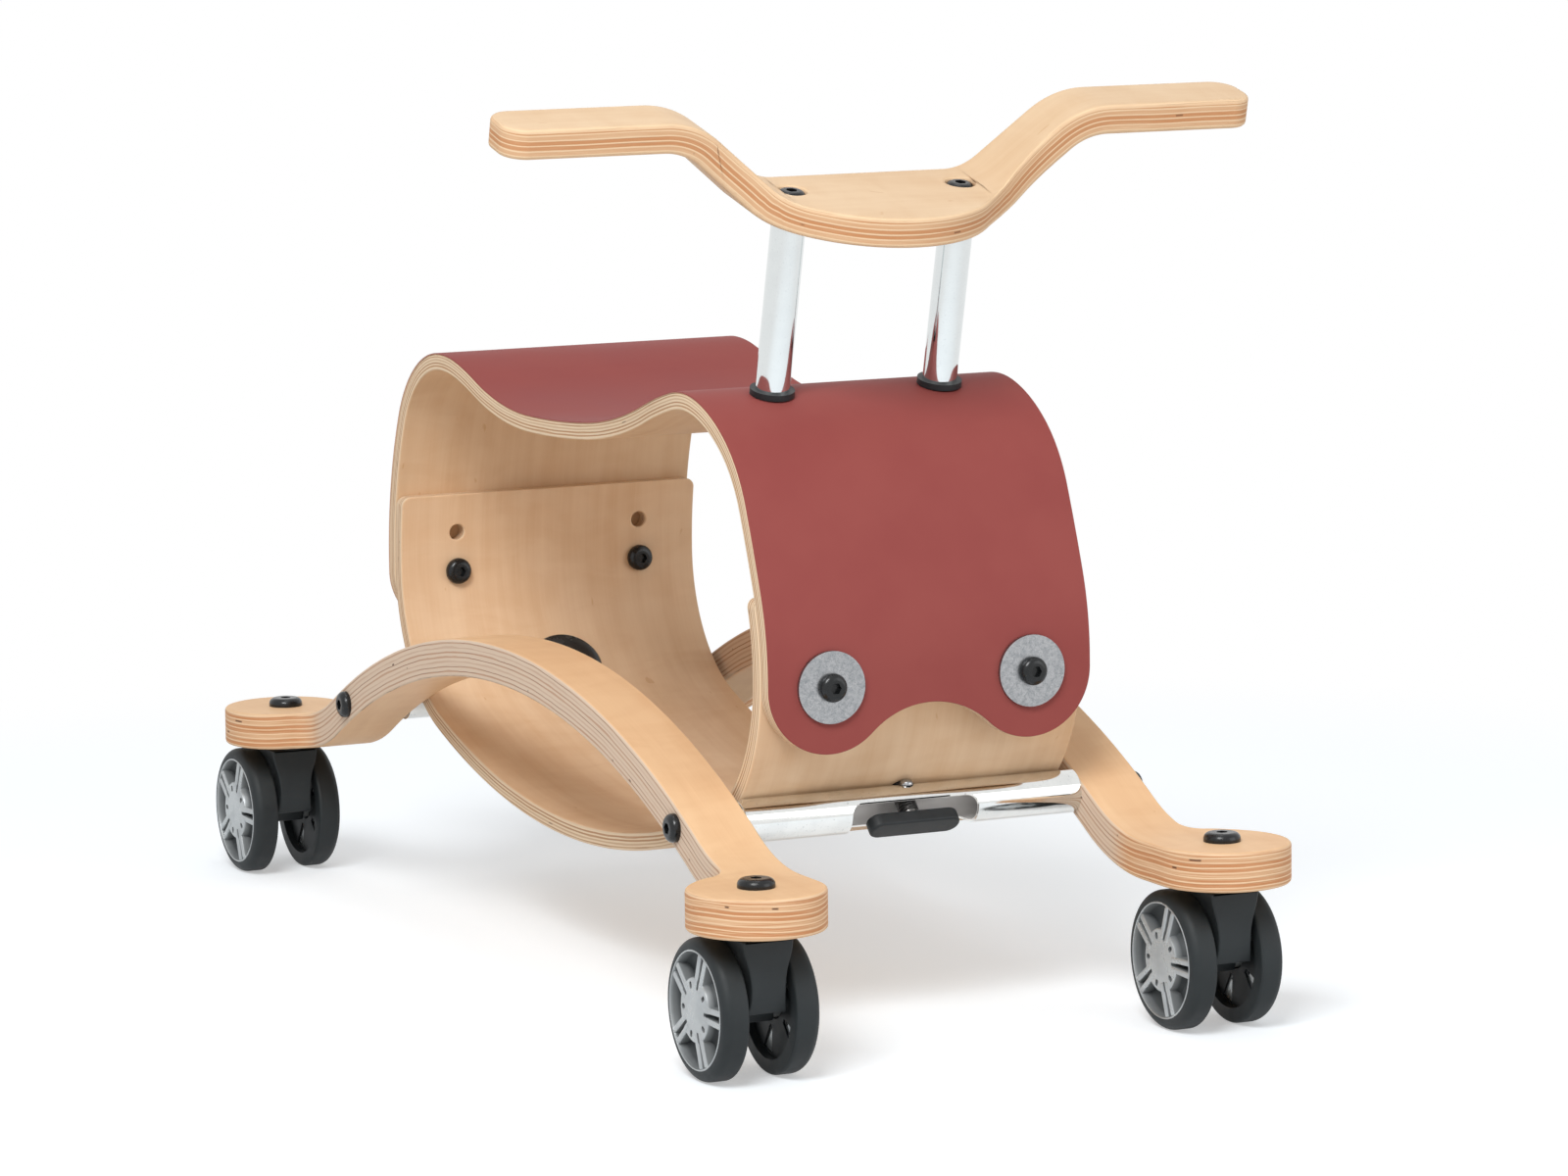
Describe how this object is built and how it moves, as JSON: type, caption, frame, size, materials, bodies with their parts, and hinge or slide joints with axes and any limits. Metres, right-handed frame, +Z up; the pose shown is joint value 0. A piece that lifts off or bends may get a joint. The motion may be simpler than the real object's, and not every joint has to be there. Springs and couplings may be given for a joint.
{
  "type": "caster ride-on toy",
  "caption": "Child's ride-on toy: hollow bent-plywood body on two side arches with swivelling twin-wheel casters, a plywood handlebar on two posts, and clamp knobs.",
  "frame": {"origin": "on the floor under the centre of the overall length and width, casters at rest", "axes": "+Z up, -Y the way the toy faces and rolls forward, +X the rider's left"},
  "size_m": [0.398, 0.6925, 0.4477],
  "materials": {
    "birch_ply": "satin clear lacquer",
    "red_laminate": "satin laminate sheet",
    "zinc_steel": "zinc plated",
    "chrome_steel": "nickel chrome tube",
    "black_steel": "satin black",
    "black_plastic": "matte",
    "silver_plastic": "satin silver",
    "black_rubber": "matte"
  },
  "bodies": {
    "frame": {"arch_bolts": "black_steel", "arch_left": "birch_ply", "arch_right": "birch_ply", "back_barrel_nuts": "black_steel", "back_bolts": "black_steel", "bowl_shell": "birch_ply", "caster_cap_bolts": "black_steel", "caster_stems": "zinc_steel", "clamp_insert_front": "black_plastic", "clamp_insert_rear": "black_plastic", "cross_tube_front": "chrome_steel", "cross_tube_rear": "chrome_steel", "face_barrel_nuts": "black_steel", "face_bolts": "black_steel", "face_washers": "zinc_steel", "handlebar": "birch_ply", "handlebar_bolts": "black_steel", "post_collars": "black_plastic", "post_foot_bolts": "black_steel", "post_foot_washers": "zinc_steel", "post_left": "chrome_steel", "post_plugs": "black_plastic", "post_right": "chrome_steel", "seat_laminate": "red_laminate", "seat_shell": "birch_ply", "tube_end_plugs": "black_plastic", "tube_rivets": "zinc_steel"},
    "caster_front_left": {"caster_fork_front_left": "black_plastic", "caster_axle_front_left": "zinc_steel"},
    "wheel_front_left_a": {"rim_front_left_a": "silver_plastic", "tyre_front_left_a": "black_rubber"},
    "wheel_front_left_b": {"rim_front_left_b": "silver_plastic", "tyre_front_left_b": "black_rubber"},
    "caster_front_right": {"caster_fork_front_right": "black_plastic", "caster_axle_front_right": "zinc_steel"},
    "wheel_front_right_a": {"rim_front_right_a": "silver_plastic", "tyre_front_right_a": "black_rubber"},
    "wheel_front_right_b": {"rim_front_right_b": "silver_plastic", "tyre_front_right_b": "black_rubber"},
    "clamp_carrier_front": {"clamp_collar_front": "black_plastic"},
    "clamp_screw_front": {"clamp_knob_front": "black_plastic", "clamp_stud_front": "zinc_steel"},
    "caster_rear_left": {"caster_fork_rear_left": "black_plastic", "caster_axle_rear_left": "zinc_steel"},
    "wheel_rear_left_a": {"rim_rear_left_a": "silver_plastic", "tyre_rear_left_a": "black_rubber"},
    "wheel_rear_left_b": {"rim_rear_left_b": "silver_plastic", "tyre_rear_left_b": "black_rubber"},
    "caster_rear_right": {"caster_fork_rear_right": "black_plastic", "caster_axle_rear_right": "zinc_steel"},
    "wheel_rear_right_a": {"rim_rear_right_a": "silver_plastic", "tyre_rear_right_a": "black_rubber"},
    "wheel_rear_right_b": {"rim_rear_right_b": "silver_plastic", "tyre_rear_right_b": "black_rubber"},
    "clamp_carrier_rear": {"clamp_collar_rear": "black_plastic"},
    "clamp_screw_rear": {"clamp_knob_rear": "black_plastic", "clamp_stud_rear": "zinc_steel"}
  },
  "joints": [
    {"name": "swivel_front_left", "type": "hinge", "parent": "frame", "child": "caster_front_left", "pos_m": [0.1232, -0.31307, 0.073], "axis": [0, 0, 1], "continuous": true},
    {"name": "roll_front_left_a", "type": "hinge", "parent": "caster_front_left", "child": "wheel_front_left_a", "pos_m": [0.1232, -0.29707, 0.034], "axis": [1, 0, 0], "continuous": true},
    {"name": "roll_front_left_b", "type": "hinge", "parent": "caster_front_left", "child": "wheel_front_left_b", "pos_m": [0.1232, -0.29707, 0.034], "axis": [1, 0, 0], "continuous": true},
    {"name": "swivel_front_right", "type": "hinge", "parent": "frame", "child": "caster_front_right", "pos_m": [-0.1232, -0.31307, 0.073], "axis": [0, 0, 1], "continuous": true},
    {"name": "roll_front_right_a", "type": "hinge", "parent": "caster_front_right", "child": "wheel_front_right_a", "pos_m": [-0.1232, -0.29707, 0.034], "axis": [1, 0, 0], "continuous": true},
    {"name": "roll_front_right_b", "type": "hinge", "parent": "caster_front_right", "child": "wheel_front_right_b", "pos_m": [-0.1232, -0.29707, 0.034], "axis": [1, 0, 0], "continuous": true},
    {"name": "clamp_travel_front", "type": "slide", "parent": "frame", "child": "clamp_carrier_front", "axis": [0, -0.6947, -0.7193], "range_m": [-0.001, 0.0075]},
    {"name": "clamp_turn_front", "type": "hinge", "parent": "clamp_carrier_front", "child": "clamp_screw_front", "pos_m": [0, -0.22598, 0.10167], "axis": [0, -0.6947, -0.7193], "range_deg": [-241, 1801]},
    {"name": "swivel_rear_left", "type": "hinge", "parent": "frame", "child": "caster_rear_left", "pos_m": [0.1232, 0.29627, 0.073], "axis": [0, 0, 1], "continuous": true},
    {"name": "roll_rear_left_a", "type": "hinge", "parent": "caster_rear_left", "child": "wheel_rear_left_a", "pos_m": [0.1232, 0.31227, 0.034], "axis": [1, 0, 0], "continuous": true},
    {"name": "roll_rear_left_b", "type": "hinge", "parent": "caster_rear_left", "child": "wheel_rear_left_b", "pos_m": [0.1232, 0.31227, 0.034], "axis": [1, 0, 0], "continuous": true},
    {"name": "swivel_rear_right", "type": "hinge", "parent": "frame", "child": "caster_rear_right", "pos_m": [-0.1232, 0.29627, 0.073], "axis": [0, 0, 1], "continuous": true},
    {"name": "roll_rear_right_a", "type": "hinge", "parent": "caster_rear_right", "child": "wheel_rear_right_a", "pos_m": [-0.1232, 0.31227, 0.034], "axis": [1, 0, 0], "continuous": true},
    {"name": "roll_rear_right_b", "type": "hinge", "parent": "caster_rear_right", "child": "wheel_rear_right_b", "pos_m": [-0.1232, 0.31227, 0.034], "axis": [1, 0, 0], "continuous": true},
    {"name": "clamp_travel_rear", "type": "slide", "parent": "frame", "child": "clamp_carrier_rear", "axis": [0, 0.6947, -0.7193], "range_m": [-0.001, 0.0075]},
    {"name": "clamp_turn_rear", "type": "hinge", "parent": "clamp_carrier_rear", "child": "clamp_screw_rear", "pos_m": [0, 0.20919, 0.10167], "axis": [0, 0.6947, -0.7193], "range_deg": [-241, 1801]}
  ],
  "couplings": [
    {"joint": "clamp_turn_front", "follows": "clamp_travel_front", "rad_per_m": 4188.8},
    {"joint": "clamp_turn_rear", "follows": "clamp_travel_rear", "rad_per_m": 4188.8}
  ]
}
